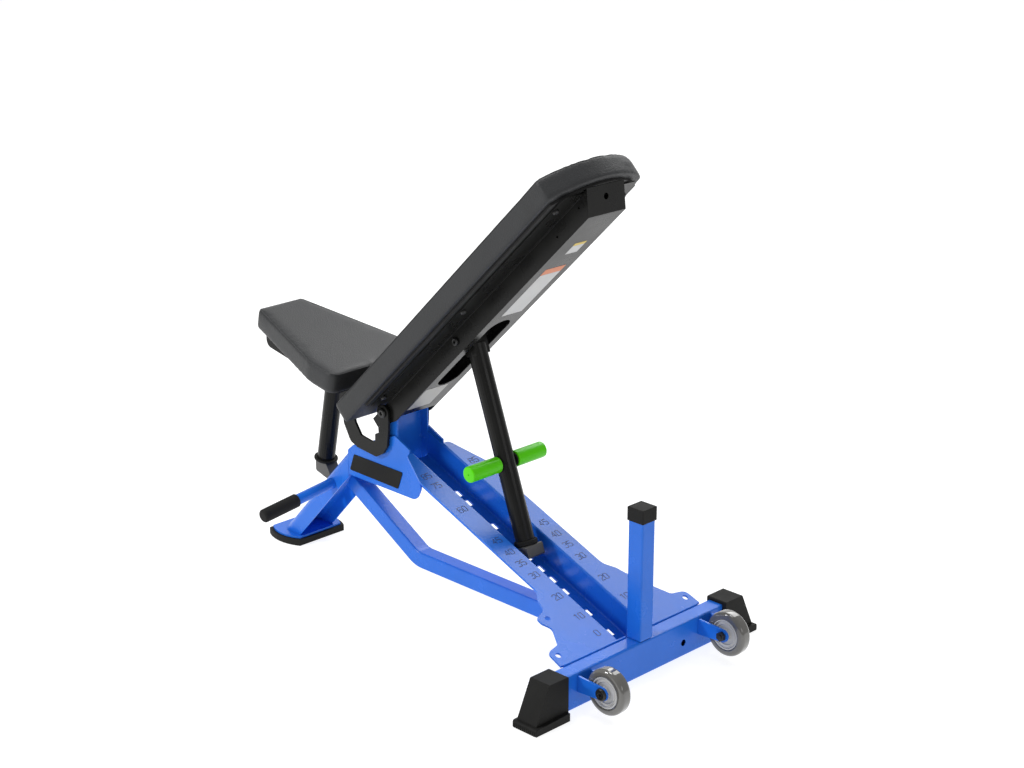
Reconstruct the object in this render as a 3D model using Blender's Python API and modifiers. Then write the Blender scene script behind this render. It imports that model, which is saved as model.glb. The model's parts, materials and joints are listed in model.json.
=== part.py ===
"""Adjustable weight bench in metres: +Z up, +X towards the head end, the user's left side at -Y.

Every visible object is one piece of the bench. Pieces that move hang from an empty on their joint axis.
"""

from math import acos, atan2, cos, pi, radians, sin, tan

import bmesh
import bpy
from mathutils import Matrix, Vector

# Where the joints are, as (x, z), and how the moving pieces stand at rest, in degrees.
HINGE = (-0.199, 0.403)
BACK_TILT = 44.5
SEAT_TILT = 10.9
STRUT_PIVOT = (0.3079, -0.0067)
STRUT_DROP = 70.0
POST_PIVOT = (-0.2266, -0.0100)
POST_DROP = 101.33
AXLE = (0.582, 0.0605)

# The sloping rail: a folded sheet whose flange tops lie in one plane.
COLUMN_FACE = -0.1685
RAIL_START = (-0.051, 0.2985)
RAIL_SLOPE = 21.74
SHEET = 0.004
RAIL_HALF = 0.0465
RAIL_DEPTH = 0.059
SLOT_S = (0.0285, 0.0625, 0.1476, 0.2575, 0.2974, 0.3345, 0.3752, 0.4463, 0.5114, 0.5648)

# Front leg, hub and foot.
LEG_TOP = (-0.332, 0.281)
LEG_DROP = 132.8
LEG_HALF = 0.050
LEG_DEPTH = 0.045
HUB_Y = (0.0470, 0.0510)
FOOT_Y = 0.005

# Rear cross tube, post and wheels.
TUBE_X = (0.4796, 0.5176)
TUBE_Z = (0.008, 0.084)
TUBE_END = 0.285
POST_X = 0.4986
POST_HALF = 0.019
POST_TOP = 0.3615
WHEEL_Y = 0.1815
WHEEL_R = 0.048
WHEEL_HALF = 0.014

# Upholstery.
PAD_HALF = 0.135
PAD_Z = (0.0185, 0.067)
BOARD_Z = (0.0128, 0.0182)
BACK_PAD_X = (-0.047, 0.811)
BACK_PAD_APEX = 0.857
SEAT_PAD_X = (-0.4428, -0.089)
SEAT_NOSE_HALF = 0.065
SEAT_FLARE_X = -0.172

# Padded boards sit on folded channels.
BACK_HALF = 0.0525
BACK_FLOOR = -0.0324
SEAT_HALF = 0.040
SEAT_FLOOR = -0.026

GAP = 0.0003
BOLT_R = 0.006
HOLE_R = 0.0063
FINE = 20

BLUE = (0.026, 0.172, 0.791)
BLACK = (0.022, 0.022, 0.020)
GREY = (0.09, 0.09, 0.09)
VINYL = (0.048, 0.048, 0.050)
RUBBER = (0.032, 0.032, 0.030)
GREEN = (0.080, 0.515, 0.010)
ZINC = (0.55, 0.55, 0.54)
HUB_GREY = (0.50, 0.50, 0.49)

for old in list(bpy.data.objects):
    bpy.data.objects.remove(old)

BENCH = bpy.data.collections.new("weight_bench")
CUTTERS = bpy.data.collections.new("cutters")
bpy.context.scene.collection.children.link(BENCH)
bpy.context.scene.collection.children.link(CUTTERS)


def frame(name, x, z, degrees):
    """An empty at (x, 0, z) turned about +Y, which drops its own X axis by that many degrees."""
    empty = bpy.data.objects.new(name, None)
    empty.empty_display_size = 0.03
    empty.matrix_world = Matrix.Translation((x, 0, z)) @ Matrix.Rotation(radians(degrees), 4, "Y")
    CUTTERS.objects.link(empty)
    return empty


def seen_from(parent, x, z):
    """A point given in another frame's own X and Z, as world X and Z."""
    point = parent.matrix_world @ Vector((x, 0, z))
    return point.x, point.z


WORLD = frame("world_frame", 0, 0, 0)
PIVOT = frame("hinge_frame", *HINGE, 0)
BACK = frame("back_frame", *HINGE, -BACK_TILT)
SEAT = frame("seat_frame", *HINGE, SEAT_TILT)
STRUT = frame("strut_frame", *seen_from(BACK, *STRUT_PIVOT), STRUT_DROP)
POST = frame("post_frame", *seen_from(SEAT, *POST_PIVOT), POST_DROP)
RAIL = frame("rail_frame", *RAIL_START, RAIL_SLOPE)
LEG = frame("leg_frame", *LEG_TOP, LEG_DROP)
WHEELS = frame("wheel_frame", *AXLE, 0)


def paint(obj, colour, roughness, metallic):
    material = bpy.data.materials.new(obj.name)
    material.use_nodes = True
    shader = material.node_tree.nodes["Principled BSDF"]
    shader.inputs["Base Color"].default_value = (*colour, 1)
    shader.inputs["Roughness"].default_value = roughness
    shader.inputs["Metallic"].default_value = metallic
    material.diffuse_color = (*colour, 1)
    obj.data.materials.append(material)


def place(name, mesh, parent, look):
    """Links a mesh as a piece, or as a cutter when it has no look."""
    mesh.shade_smooth()
    mesh.set_sharp_from_angle(angle=radians(30))
    obj = bpy.data.objects.new(name, mesh)
    obj.parent = parent
    if look:
        BENCH.objects.link(obj)
        paint(obj, *look)
    else:
        CUTTERS.objects.link(obj)
        obj.hide_render = True
        obj.display_type = "WIRE"
    return obj


def fillet(corners, steps=4):
    """A closed outline whose corners (x, y, radius) are rounded; a corner without a radius stays sharp."""
    points = []
    for i, corner in enumerate(corners):
        here = Vector(corner[:2])
        if len(corner) == 2:
            points.append(tuple(here))
            continue
        to_last = (Vector(corners[i - 1][:2]) - here).normalized()
        to_next = (Vector(corners[(i + 1) % len(corners)][:2]) - here).normalized()
        half = acos(max(-1, min(1, to_last.dot(to_next)))) / 2
        reach = corner[2] / tan(half)
        centre = here + (to_last + to_next).normalized() * (corner[2] / sin(half))
        first = here + to_last * reach - centre
        last = here + to_next * reach - centre
        start = atan2(first.y, first.x)
        turn = (atan2(last.y, last.x) - start + pi) % (2 * pi) - pi
        for step in range(steps + 1):
            angle = start + turn * step / steps
            points.append((centre.x + corner[2] * cos(angle), centre.y + corner[2] * sin(angle)))
    return points


def arc(centre, radius, start, end, steps=12):
    """Points on an arc between two angles in degrees."""
    angles = [radians(start + (end - start) * i / steps) for i in range(steps + 1)]
    return [(centre[0] + radius * cos(a), centre[1] + radius * sin(a)) for a in angles]


def mirrored(side):
    """A half outline at positive second coordinate, closed by its mirror image."""
    return list(side) + [(p[0], -p[1]) + tuple(p[2:]) for p in reversed(side)]


TURNS = {
    "Z": Matrix.Identity(4),
    "Y": Matrix(((1, 0, 0, 0), (0, 0, -1, 0), (0, 1, 0, 0), (0, 0, 0, 1))),
    "X": Matrix(((0, 0, 1, 0), (1, 0, 0, 0), (0, 1, 0, 0), (0, 0, 0, 1))),
}


def slab(name, parent, outline, low, high, across="Y", look=None, holes=()):
    """A flat outline given thickness: in XZ across Y, in XY across Z, or in YZ across X."""
    curve = bpy.data.curves.new(name, "CURVE")
    curve.dimensions = "2D"
    curve.fill_mode = "BOTH"
    curve.extrude = (high - low) / 2
    for loop in (outline, *holes):
        spline = curve.splines.new("POLY")
        spline.points.add(len(loop) - 1)
        for point, (x, y) in zip(spline.points, loop):
            point.co = (x, y, 0, 1)
        spline.use_cyclic_u = True
    guide = bpy.data.objects.new(name + "_outline", curve)
    CUTTERS.objects.link(guide)
    bpy.context.view_layer.update()
    mesh = bpy.data.meshes.new_from_object(guide.evaluated_get(bpy.context.evaluated_depsgraph_get()))
    bpy.data.objects.remove(guide)
    middle = (low + high) / 2
    shift = {"X": (middle, 0, 0), "Y": (0, middle, 0), "Z": (0, 0, middle)}[across]
    mesh.transform(Matrix.Translation(shift) @ TURNS[across])
    return place(name, welded(mesh), parent, look)


def welded(mesh):
    work = bmesh.new()
    work.from_mesh(mesh)
    bmesh.ops.remove_doubles(work, verts=work.verts, dist=0.00001)
    bmesh.ops.recalc_face_normals(work, faces=work.faces)
    work.to_mesh(mesh)
    work.free()
    mesh.materials.clear()
    return mesh


def rod(name, parent, start, end, radius, look=None, sides=FINE, radius_end=None):
    """A cylinder, cone or hexagon between two points of its frame."""
    start, end = Vector(start), Vector(end)
    along = end - start
    turn = Vector((0, 0, 1)).rotation_difference(along.normalized()).to_matrix().to_4x4()
    work = bmesh.new()
    bmesh.ops.create_cone(
        work,
        cap_ends=True,
        segments=sides,
        radius1=radius,
        radius2=radius if radius_end is None else radius_end,
        depth=along.length,
        matrix=Matrix.Translation((start + end) / 2) @ turn,
    )
    mesh = bpy.data.meshes.new(name)
    work.to_mesh(mesh)
    work.free()
    return place(name, mesh, parent, look)


def box(name, parent, x, y, z, look=None):
    """A box from three (low, high) pairs."""
    work = bmesh.new()
    bmesh.ops.create_cube(work, size=1)
    scale = Matrix.Diagonal((x[1] - x[0], y[1] - y[0], z[1] - z[0], 1))
    centre = Matrix.Translation(((x[0] + x[1]) / 2, (y[0] + y[1]) / 2, (z[0] + z[1]) / 2))
    bmesh.ops.transform(work, matrix=centre @ scale, verts=work.verts)
    mesh = bpy.data.meshes.new(name)
    work.to_mesh(mesh)
    work.free()
    return place(name, mesh, parent, look)


def soften(obj, width, segments=2, angle=40):
    bevel = obj.modifiers.new("round_edges", "BEVEL")
    bevel.width = width
    bevel.segments = segments
    bevel.limit_method = "ANGLE"
    bevel.angle_limit = radians(angle)
    bevel.use_clamp_overlap = True
    return obj


def combine(obj, operation, others):
    for other in others:
        boolean = obj.modifiers.new(other.name, "BOOLEAN")
        boolean.operation = operation
        boolean.solver = "EXACT"
        boolean.object = other
    return obj


def cut(obj, *others):
    return combine(obj, "DIFFERENCE", others)


def join(obj, *others):
    return combine(obj, "UNION", others)


def bore(name, parent, x, z, radius, y, sides=16):
    """A cutter for a round hole along Y."""
    return rod(name, parent, (x, y[0], z), (x, y[1], z), radius, sides=sides)


SIDES = (("l", -1), ("r", 1))


def across_y(side, near, far):
    """The (low, high) pair in Y for a piece between two distances from the middle."""
    return (near, far) if side > 0 else (-far, -near)


STEEL_BLUE = (BLUE, 0.35, 0.0)
STEEL_BLACK = (BLACK, 0.35, 0.0)
PLATED = (ZINC, 0.3, 1.0)
BOLT_BLACK = (BLACK, 0.4, 0.3)
PLASTIC = (BLACK, 0.5, 0.0)
TYRE = (RUBBER, 0.45, 0.0)

# ---- Frame: rail ----


def build_rail():
    flange = mirrored(
        [
            (-0.0760, 0.0620, 0.012),
            (0.0107, 0.0965, 0.030),
            (0.3850, 0.0985, 0.030),
            (0.4080, 0.1165, 0.020),
            (0.4350, 0.1260, 0.010),
            (0.4460, 0.1575, 0.010),
            (0.4630, 0.1580, 0.012),
            (0.4820, 0.1470, 0.016),
            (0.5230, 0.1700, 0.012),
            (0.5310, 0.2070, 0.014),
            (0.6200, 0.2115),
        ]
    )
    rail = slab("spine_channel", RAIL, fillet(flange), -SHEET, 0, "Z", STEEL_BLUE)
    outer = fillet(
        [
            (-RAIL_HALF, -0.0020),
            (-RAIL_HALF, -RAIL_DEPTH, 0.009),
            (RAIL_HALF, -RAIL_DEPTH, 0.009),
            (RAIL_HALF, -0.0020),
        ]
    )
    inner_half = RAIL_HALF - SHEET
    mouth = inner_half + 0.004
    inner = [
        (-mouth, 0.010),
        *arc((-mouth, -0.004), 0.004, 90, 0, 5),
        *arc((-inner_half + 0.005, SHEET - RAIL_DEPTH + 0.005), 0.005, 180, 270, 4),
        *arc((inner_half - 0.005, SHEET - RAIL_DEPTH + 0.005), 0.005, 270, 360, 4),
        *arc((mouth, -0.004), 0.004, 180, 90, 5),
        (mouth, 0.010),
    ]
    join(rail, slab("rail_trough", RAIL, outer, -0.20, 0.65, "X"))
    cut(rail, slab("rail_pocket", RAIL, inner, -0.25, 0.70, "X"))
    cut(rail, box("rail_top_cut", WORLD, (-0.35, COLUMN_FACE + GAP), (-0.1, 0.1), (0.1, 0.5)))
    cut(rail, box("rail_tail_cut", WORLD, (TUBE_X[0] - GAP, 0.62), (-0.25, 0.25), (-0.05, 0.2)))
    for i, s in enumerate(SLOT_S):
        slot = box(f"rail_slot_{i}", RAIL, (s - 0.010, s + 0.010), (-0.0245, 0.0245), (-0.07, -0.045))
        cut(rail, slot)
    for side, sign in SIDES:
        for s, y in ((0.4563, 0.136), (0.5463, 0.1915)):
            name = f"lobe_hole_{side}_{s:.2f}"
            hole = rod(name, RAIL, (s, sign * y, -0.01), (s, sign * y, 0.01), 0.0065, sides=20)
            cut(rail, hole)


# ---- Frame: hub, column, leg, foot, brace ----


def build_hub():
    outline = [
        (-0.3278, 0.2228, 0.006),
        (-0.3304, 0.2813, 0.010),
        (-0.3110, 0.2975, 0.010),
        (-0.1720, 0.3545, 0.008),
        (-0.1250, 0.3337, 0.002),
        (-0.1250, 0.3220),
        (-0.1110, 0.3165, 0.003),
        (-0.0890, 0.2540, 0.020),
        (-0.1040, 0.2228, 0.022),
    ]
    for side, sign in SIDES:
        plate = slab(
            f"hub_plate_{side}", WORLD, fillet(outline), *across_y(sign, *HUB_Y), "Y", STEEL_BLUE
        )
        soften(plate, 0.0006, 1, 60)
    badge = [(-0.308, 0.276, 0.003), (-0.147, 0.276, 0.003), (-0.163, 0.234, 0.003), (-0.323, 0.236, 0.003)]
    slab("badge_plate", WORLD, fillet(badge, 3), -0.0523, -HUB_Y[1] - GAP, "Y", PLASTIC)


def build_column():
    face = COLUMN_FACE - HINGE[0]
    outline = arc((0, 0), 0.0160, 46, 180, 8) + [(-0.0160, -0.1620), (face, -0.1109), (face, 0.0020)]
    column = slab("hinge_column", PIVOT, outline, -RAIL_HALF, RAIL_HALF, "Y", STEEL_BLUE)
    inner = RAIL_HALF - SHEET
    cut(column, box("column_rear_pocket", PIVOT, (-0.05, 0.006), (-inner, inner), (-0.20, 0.05)))
    cut(column, box("column_front_pocket", PIVOT, (0.010, 0.05), (-inner, inner), (-0.20, 0.05)))
    cut(column, box("column_web_top", PIVOT, (0.005, 0.011), (-inner, inner), (-0.0115, 0.05)))
    cut(column, bore("column_bore", PIVOT, 0, 0, HOLE_R, (-0.06, 0.06)))


def build_leg():
    inner = LEG_HALF - 0.003
    outline = fillet(
        [
            (-LEG_HALF, LEG_DEPTH),
            (-LEG_HALF, 0, 0.018),
            (LEG_HALF, 0, 0.018),
            (LEG_HALF, LEG_DEPTH),
            (inner, LEG_DEPTH),
            (inner, 0.003, 0.015),
            (-inner, 0.003, 0.015),
            (-inner, LEG_DEPTH),
        ],
        6,
    )
    leg = slab("front_leg", LEG, outline, -0.08, 0.45, "X", STEEL_BLUE)
    cut(leg, box("leg_top_cut", WORLD, (-0.3308, -0.1), (-0.1, 0.1), (0.1, 0.5)))
    cut(leg, box("leg_foot_cut", WORLD, (-0.8, -0.3), (-0.1, 0.1), (-0.1, 0.0206)))
    for i, s in enumerate((0.100, 0.140, 0.180, 0.220)):
        cut(leg, box(f"leg_slot_{i}", LEG, (s - 0.007, s + 0.007), (-0.018, 0.018), (-0.01, 0.01)))


def foot_outline(inset):
    """The foot pad seen from above: straight front and rear, bulging ends."""
    half = 0.067 - inset
    front, rear = -0.6095 + inset, -0.4975 - inset
    middle = (front + rear) / 2
    half_length = (rear - front) / 2
    bulge = 0.015
    radius = (half_length**2 + bulge**2) / (2 * bulge)
    reach = half + bulge - radius
    spread = atan2(half_length, radius - bulge) * 180 / pi
    far = arc((middle, FOOT_Y + reach), radius, 90 - spread, 90 + spread, 10)
    near = arc((middle, FOOT_Y - reach), radius, 270 - spread, 270 + spread, 10)
    return far + near


def build_foot():
    pad = slab("foot_pad", WORLD, foot_outline(0), 0, 0.015, "Z", TYRE)
    soften(pad, 0.0015, 1)
    slab("foot_plate", WORLD, foot_outline(0.006), 0.0153, 0.0203, "Z", STEEL_BLUE)


def tube_along(name, path, half, corner, look=None):
    """A square tube's solid section swept along a path in the XZ plane."""
    section = bpy.data.curves.new(name + "_section", "CURVE")
    section.dimensions = "2D"
    section.fill_mode = "NONE"
    spline = section.splines.new("POLY")
    loop = fillet([(x * half, y * half, corner) for x, y in ((-1, -1), (1, -1), (1, 1), (-1, 1))], 4)
    spline.points.add(len(loop) - 1)
    for point, (x, y) in zip(spline.points, loop):
        point.co = (x, y, 0, 1)
    spline.use_cyclic_u = True
    section_object = bpy.data.objects.new(name + "_section", section)
    CUTTERS.objects.link(section_object)
    curve = bpy.data.curves.new(name, "CURVE")
    curve.dimensions = "3D"
    curve.bevel_mode = "OBJECT"
    curve.bevel_object = section_object
    curve.use_fill_caps = True
    spline = curve.splines.new("POLY")
    spline.points.add(len(path) - 1)
    for point, (x, z) in zip(spline.points, path):
        point.co = (x, 0, z, 1)
    guide = bpy.data.objects.new(name + "_path", curve)
    CUTTERS.objects.link(guide)
    bpy.context.view_layer.update()
    mesh = bpy.data.meshes.new_from_object(guide.evaluated_get(bpy.context.evaluated_depsgraph_get()))
    bpy.data.objects.remove(guide)
    bpy.data.objects.remove(section_object)
    return place(name, welded(mesh), WORLD, look)


def brace_path(extra):
    """From inside the front leg down to a bend, then level to the rail."""
    bend = (-0.144, 0.063)
    slope = radians(29.7)
    start = (bend[0] - (0.256 + extra) * cos(slope), bend[1] + (0.256 + extra) * sin(slope))
    curve = arc((bend[0] + 0.016, bend[1] + 0.062), 0.062, 240.3, 270, 6)
    return [start, *curve, (0.46 + extra, bend[1])]


def build_brace():
    brace = tube_along("brace_tube", brace_path(0), 0.019, 0.004, STEEL_BLUE)
    cut(brace, tube_along("brace_hollow", brace_path(0.02), 0.017, 0.003))
    under = [(-0.30, -RAIL_DEPTH - GAP), (0.70, -RAIL_DEPTH - GAP), (0.70, 0.1), (-0.30, 0.1)]
    cut(brace, slab("brace_end_cut", RAIL, under, -0.05, 0.05))
    cut(brace, box("brace_top_cut", LEG, (-0.2, 0.4), (-0.04, 0.04), (-0.08, 0.003 + GAP)))


def build_carry_handle():
    start = Vector((-0.389, -0.030, 0.1871))
    end = Vector((-0.389, -0.2515, 0.1605))
    along = (end - start).normalized()
    bar = rod("carry_handle_bar", WORLD, start, end - along * 0.012, 0.0125, STEEL_BLUE)
    cut(bar, box("handle_bar_cut", WORLD, (-0.45, -0.3), (-LEG_HALF - GAP, 0), (0.1, 0.3)))
    grip = rod("carry_handle_grip", WORLD, end - along * 0.0975, end, 0.0155, PLASTIC)
    soften(grip, 0.006, 2)
    cut(grip, rod("handle_grip_socket", WORLD, start, end - along * (0.012 - GAP), 0.0125 + GAP))


# ---- Frame: rear end ----


def build_rear():
    tube = box("rear_cross_tube", WORLD, TUBE_X, (-TUBE_END, TUBE_END), TUBE_Z, STEEL_BLUE)
    soften(tube, 0.004, 2)
    wall = 0.002
    inside_x = (TUBE_X[0] + wall, TUBE_X[1] - wall)
    inside_z = (TUBE_Z[0] + wall, TUBE_Z[1] - wall)
    cut(tube, box("cross_tube_hollow", WORLD, inside_x, (-0.3, 0.3), inside_z))
    for side, sign in SIDES:
        y = sign * 0.1158
        hole = rod(f"tube_hole_{side}", WORLD, (0.51, y, 0.0386), (0.53, y, 0.0386), 0.0072)
        cut(tube, hole)
    post_x = (POST_X - POST_HALF, POST_X + POST_HALF)
    post = box("rear_post", WORLD, post_x, (-POST_HALF, POST_HALF), (TUBE_Z[1] + GAP, POST_TOP), STEEL_BLUE)
    soften(post, 0.0035, 2)
    inner = POST_HALF - wall
    cut(post, box("post_hollow", WORLD, (POST_X - inner, POST_X + inner), (-inner, inner), (0.05, 0.4)))
    cap = box("post_cap", WORLD, (POST_X - 0.021, POST_X + 0.021), (-0.021, 0.021), (0.3387, 0.3684), PLASTIC)
    soften(cap, 0.0015, 2)
    socket = POST_HALF + GAP
    socket_x = (POST_X - socket, POST_X + socket)
    cut(cap, box("cap_socket", WORLD, socket_x, (-socket, socket), (0.30, POST_TOP + GAP)))


def build_rear_feet():
    upper = [
        (0.2376, 0.0917, 0.003),
        (0.2913, 0.0917, 0.003),
        (0.3270, 0.0160),
        (0.3270, 0.004),
        (0.2376, 0.004),
    ]
    base = [(0.2403, 0.0180), (0.3350, 0.0150, 0.004), (0.3350, 0), (0.2403, 0)]
    for side, sign in SIDES:
        turned = [(sign * p[0], *p[1:]) for p in upper][::sign]
        foot = slab(f"rear_foot_{side}", WORLD, fillet(turned), 0.4767, 0.5284, "X", PLASTIC)
        soften(foot, 0.0018, 2, 50)
        turned = [(sign * p[0], *p[1:]) for p in base][::sign]
        foot_base = slab(f"foot_base_{side}", WORLD, fillet(turned), 0.4714, 0.5365, "X")
        join(foot, soften(foot_base, 0.0012, 1, 50))
        socket_x = (TUBE_X[0] - GAP, TUBE_X[1] + GAP)
        socket_z = (TUBE_Z[0] - GAP, TUBE_Z[1] + GAP)
        socket = box(f"foot_socket_{side}", WORLD, socket_x, across_y(sign, 0.20, TUBE_END + GAP), socket_z)
        cut(foot, socket)


def build_wheels():
    plates = (("in", 0.160, 0.165), ("out", 0.198, 0.203))
    start = TUBE_X[1] + GAP - AXLE[0]
    outline = [(start, 0.017), (start, -0.017)] + arc((0, 0), 0.0140, -90, 90, 12)
    for side, sign in SIDES:
        for which, near, far in plates:
            y = across_y(sign, near, far)
            plate = slab(f"wheel_bracket_{side}_{which}", WHEELS, outline, *y, "Y", STEEL_BLUE)
            soften(plate, 0.0008, 1, 60)
            cut(plate, bore(f"bracket_bore_{side}_{which}", WHEELS, 0, 0, 0.0053, (-0.25, 0.25)))
        middle = sign * WHEEL_Y
        tyre = rod(
            f"wheel_tyre_{side}",
            WHEELS,
            (0, middle - WHEEL_HALF, 0),
            (0, middle + WHEEL_HALF, 0),
            WHEEL_R,
            TYRE,
            32,
        )
        soften(tyre, 0.008, 2)
        cut(tyre, bore(f"tyre_bore_{side}", WHEELS, 0, 0, 0.0325 + GAP, (-0.25, 0.25), 24))
        hub = rod(
            f"wheel_hub_{side}",
            WHEELS,
            (0, middle - 0.0135, 0),
            (0, middle + 0.0135, 0),
            0.0325,
            (HUB_GREY, 0.4, 0.0),
            24,
        )
        cut(hub, bore(f"hub_bore_{side}", WHEELS, 0, 0, 0.0053, (-0.25, 0.25)))
        for face in (-1, 1):
            outer = middle + face * 0.0135
            name = f"hub_dish_{side}_{'a' if face < 0 else 'b'}"
            dish_start, dish_end = (0, outer - face * 0.004, 0), (0, outer + face * 0.002, 0)
            dish = rod(name, WHEELS, dish_start, dish_end, 0.0275, sides=24)
            core_start, core_end = (0, outer - face * 0.006, 0), (0, outer + face * 0.004, 0)
            core = rod(name + "_core", WHEELS, core_start, core_end, 0.0115, sides=16)
            cut(dish, core)
            cut(hub, dish)
        bolt = rod(
            f"wheel_axle_bolt_{side}",
            WHEELS,
            (0, sign * 0.1505, 0),
            (0, sign * 0.2045, 0),
            0.005,
            BOLT_BLACK,
            16,
        )
        head = rod(f"axle_head_{side}", WHEELS, (0, sign * 0.2033, 0), (0, sign * 0.2085, 0), 0.013, sides=16)
        join(bolt, soften(head, 0.002, 1))
        nut = rod(
            f"wheel_axle_nut_{side}",
            WHEELS,
            (0, sign * 0.1525, 0),
            (0, sign * 0.1597, 0),
            0.0105,
            BOLT_BLACK,
            6,
        )
        cut(nut, bore(f"axle_nut_bore_{side}", WHEELS, 0, 0, 0.0053, (-0.25, 0.25)))


# ---- Hinge ----


def build_hinge():
    bolt = rod("hinge_bolt", PIVOT, (0, -0.0640, 0), (0, 0.0690, 0), BOLT_R, BOLT_BLACK, 16)
    head = rod("hinge_head", PIVOT, (0, -0.0658, 0), (0, -0.0613, 0), 0.0110, sides=16)
    join(bolt, soften(head, 0.0012, 1))
    nut = rod("hinge_nut", PIVOT, (0, 0.0613, 0), (0, 0.0690, 0), 0.0115, PLATED, 6)
    cut(nut, bore("hinge_nut_bore", PIVOT, 0, 0, HOLE_R, (0, 0.1)))
    sleeve = rod("hinge_sleeve", PIVOT, (0, -0.0422, 0), (0, 0.0422, 0), 0.0095, PLATED)
    cut(sleeve, bore("hinge_sleeve_bore", PIVOT, 0, 0, HOLE_R, (-0.1, 0.1)))


# ---- Backrest ----


def back_outline(inset, start):
    """Half-round head, straight sides; the inset shrinks it on every side but the hinge end."""
    half = PAD_HALF - inset
    shoulder = BACK_PAD_X[1] - inset
    bulge = BACK_PAD_APEX - BACK_PAD_X[1]
    radius = (half**2 + bulge**2) / (2 * bulge)
    spread = atan2(half, radius - bulge) * 180 / pi
    head = arc((shoulder + bulge - radius, 0), radius, -spread, spread, 12)
    corner = 0.007
    tail = [(start, half, corner), (start, -half, corner)]
    return fillet([*tail, *head], 4)


def build_back():
    pad = slab("back_pad", BACK, back_outline(0, BACK_PAD_X[0]), *PAD_Z, "Z", (VINYL, 0.5, 0.0))
    soften(pad, 0.005, 2, 50)
    slab("back_board", BACK, back_outline(0.016, 0.031), *BOARD_Z, "Z", PLASTIC)
    wall = 0.003
    side = [
        (-0.0470, 0.0110),
        (-0.0470, -0.0120, 0.005),
        (0.0150, BACK_FLOOR, 0.016),
        (0.7967, BACK_FLOOR),
        (0.8306, 0.0110),
    ]
    channel = slab("back_channel", BACK, fillet(side), -BACK_HALF, BACK_HALF, "Y", STEEL_BLACK)
    flange = fillet(mirrored([(0.031, 0.105, 0.008), (0.820, 0.105, 0.012)]))
    join(channel, slab("back_flange", BACK, flange, 0.0095, 0.0125, "Z"))
    inner = BACK_HALF - wall
    cut(channel, box("back_trough", BACK, (-0.06, 0.90), (-inner, inner), (BACK_FLOOR + wall, 0.03)))
    cut(channel, box("back_web_start", BACK, (-0.06, 0.037), (-inner, inner), (-0.05, 0.03)))
    slot = [(0.150, 0.030, 0.0299), (0.150, -0.030, 0.0299), (0.410, -0.030, 0.0299), (0.410, 0.030, 0.0299)]
    cut(channel, slab("back_web_slot", BACK, fillet(slot, 8), -0.05, -0.02, "Z"))
    cut(channel, bore("back_hinge_bore", BACK, 0, 0, HOLE_R, (-0.1, 0.1)))
    cut(channel, bore("back_strut_bore", BACK, *STRUT_PIVOT, 0.0053, (-0.1, 0.1)))
    for i, (x, z) in enumerate(((0.705, -0.012), (0.792, -0.0035))):
        cut(channel, bore(f"back_side_hole_{i}", BACK, x, z, 0.0025, (-0.1, 0.1), 16))
    for i, x in enumerate((0.070, 0.417, 0.775)):
        for side_name, sign in SIDES:
            y = sign * 0.095
            name = f"back_bolt_{side_name}_{i + 1}"
            hole = rod("hole_" + name, BACK, (x, y, 0.0), (x, y, 0.0137), 0.0033, sides=16)
            cut(channel, hole)
            board_hole = rod("seat_" + name, BACK, (x, y, 0.0), (x, y, 0.0168), 0.0033, sides=16)
            cut(bpy.data.objects["back_board"], board_hole)
            bolt = rod(name, BACK, (x, y, 0.0040), (x, y, 0.0165), 0.003, BOLT_BLACK, 12)
            head = rod("head_" + name, BACK, (x, y, 0.0040), (x, y, 0.0092), 0.0065, sides=16)
            join(bolt, soften(head, 0.0012, 1))
    end = [(0.7970, BACK_FLOOR), (0.8000, BACK_FLOOR), (0.8353, 0.0122), (0.8322, 0.0122)]
    plate = slab("back_end_plate", BACK, end, -BACK_HALF, BACK_HALF, "Y", STEEL_BLACK)
    hole = rod("end_plate_hole", BACK, (0.8043, 0, 0.0069), (0.8357, 0, -0.0179), 0.0065, sides=24)
    cut(plate, hole)


# ---- Strut ----


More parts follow.
